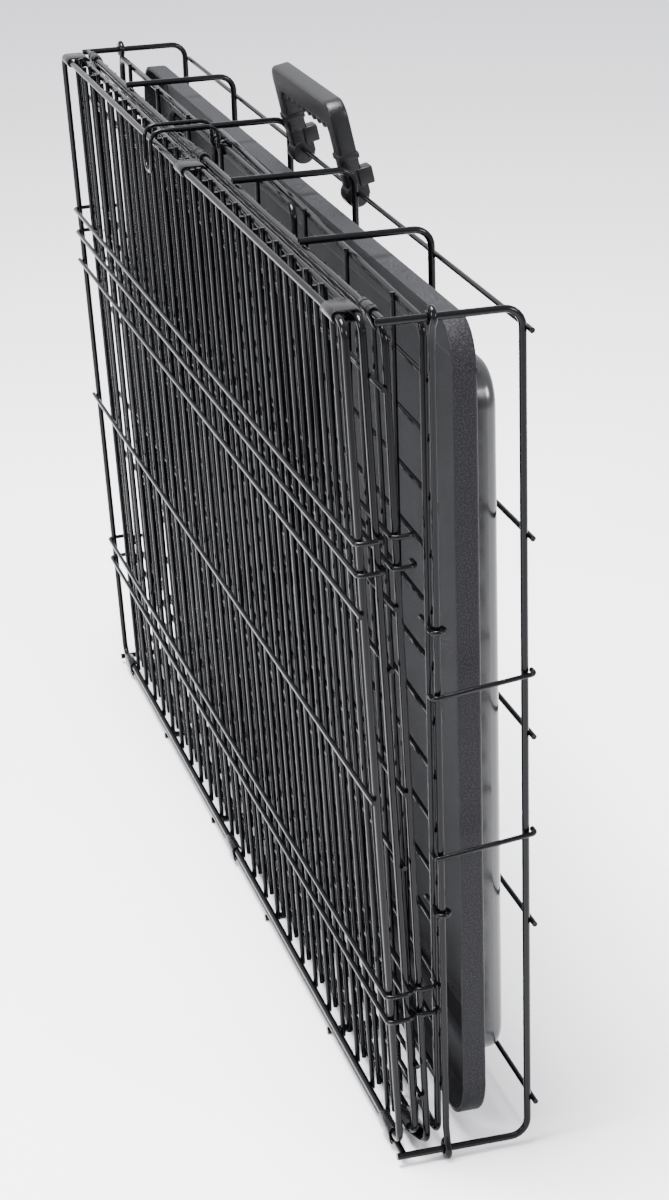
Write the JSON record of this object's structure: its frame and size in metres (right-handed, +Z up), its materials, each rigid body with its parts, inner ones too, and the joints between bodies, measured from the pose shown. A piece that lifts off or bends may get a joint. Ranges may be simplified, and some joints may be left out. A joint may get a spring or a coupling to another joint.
{
  "type": "folding wire dog crate",
  "caption": "Folding wire dog crate packed flat on its long edge like a suitcase, with a carrying handle, hinged wire panels, closure hook, pan stop and sliding tray.",
  "frame": {"origin": "centre of the bounding box in X and Y, at the height of the lowest wires", "axes": "+X along the crate's length towards the pan stop's end, +Y through the folded pack towards the floor's long wires, +Z up towards the carrying handle"},
  "size_m": [0.9298, 0.133, 0.6455],
  "materials": {
    "coated_wire": "gloss black coated steel wire",
    "clip_sheet": "satin black coated steel sheet",
    "tray_plastic": "black plastic, grained rim and smooth glossy base",
    "handle_plastic": "satin black moulded plastic"
  },
  "bodies": {
    "floor": {"end_bar_far": "coated_wire", "end_bar_near": "coated_wire", "end_frame_far": "coated_wire", "end_frame_near": "coated_wire", "end_panel_far": "coated_wire", "end_panel_near": "coated_wire", "floor_cross_wire_1": "coated_wire", "floor_cross_wire_2": "coated_wire", "floor_cross_wire_3": "coated_wire", "floor_cross_wire_4": "coated_wire", "floor_long_wire_1": "coated_wire", "floor_long_wire_2": "coated_wire", "floor_long_wire_3": "coated_wire", "floor_long_wire_4": "coated_wire", "floor_long_wire_5": "coated_wire", "lip_wire_lower": "coated_wire", "lip_wire_upper": "coated_wire"},
    "inner_side": {"side_panel_1": "coated_wire", "side_door": "coated_wire", "side_1_lip_clip_far": "clip_sheet", "side_1_lip_clip_middle": "clip_sheet", "side_1_lip_clip_near": "clip_sheet"},
    "top": {"top_panel": "coated_wire", "side_1_top_clip_far": "clip_sheet", "side_1_top_clip_middle": "clip_sheet", "side_1_top_clip_near": "clip_sheet"},
    "outer_side": {"side_panel_2": "coated_wire", "side_2_lip_clip_far": "clip_sheet", "side_2_lip_clip_middle": "clip_sheet", "side_2_lip_clip_near": "clip_sheet", "side_2_top_clip_far": "clip_sheet", "side_2_top_clip_middle": "clip_sheet", "side_2_top_clip_near": "clip_sheet"},
    "door_bolt": {"side_door_bolt": "coated_wire"},
    "handle": {"carry_handle": "handle_plastic"},
    "closure_hook": {"closure_hook": "coated_wire"},
    "pan_stop": {"pan_stop": "coated_wire"},
    "tray": {"tray": "tray_plastic"}
  },
  "joints": [
    {"name": "unfold", "type": "hinge", "parent": "floor", "child": "inner_side", "pos_m": [0, -0.03939, 0.59157], "axis": [-1, 0, 0], "range_deg": [0, 91.9]},
    {"name": "top_hinge", "type": "hinge", "parent": "inner_side", "child": "top", "pos_m": [0, -0.01999, 0.00757], "axis": [1, 0, 0], "range_deg": [0, 269]},
    {"name": "outer_side_hinge", "type": "hinge", "parent": "top", "child": "outer_side", "pos_m": [0, -0.05039, 0.59157], "axis": [-1, 0, 0], "range_deg": [0, 88.2]},
    {"name": "door_bolt_slide", "type": "slide", "parent": "inner_side", "child": "door_bolt", "axis": [-1, 0, 0], "range_m": [0, 0.015]},
    {"name": "handle_hinge", "type": "hinge", "parent": "floor", "child": "handle", "pos_m": [-0.001, 0.05341, 0.57757], "axis": [-1, 0, 0], "range_deg": [0, 165]},
    {"name": "closure_hook_hinge", "type": "hinge", "parent": "floor", "child": "closure_hook", "pos_m": [-0.071, -0.01139, 0.58657], "axis": [-1, 0, 0], "range_deg": [0, 86]},
    {"name": "pan_stop_hinge", "type": "hinge", "parent": "floor", "child": "pan_stop", "pos_m": [0.457, -0.00939, 0.28607], "axis": [0, 0, -1], "range_deg": [0, 120]},
    {"name": "tray_slide", "type": "slide", "parent": "floor", "child": "tray", "axis": [-1, 0, 0], "range_m": [0, 0.85]}
  ],
  "couplings": [
    {"joint": "top_hinge", "follows": "unfold", "ratio": 2.9262},
    {"joint": "outer_side_hinge", "follows": "unfold", "ratio": 0.95861}
  ]
}
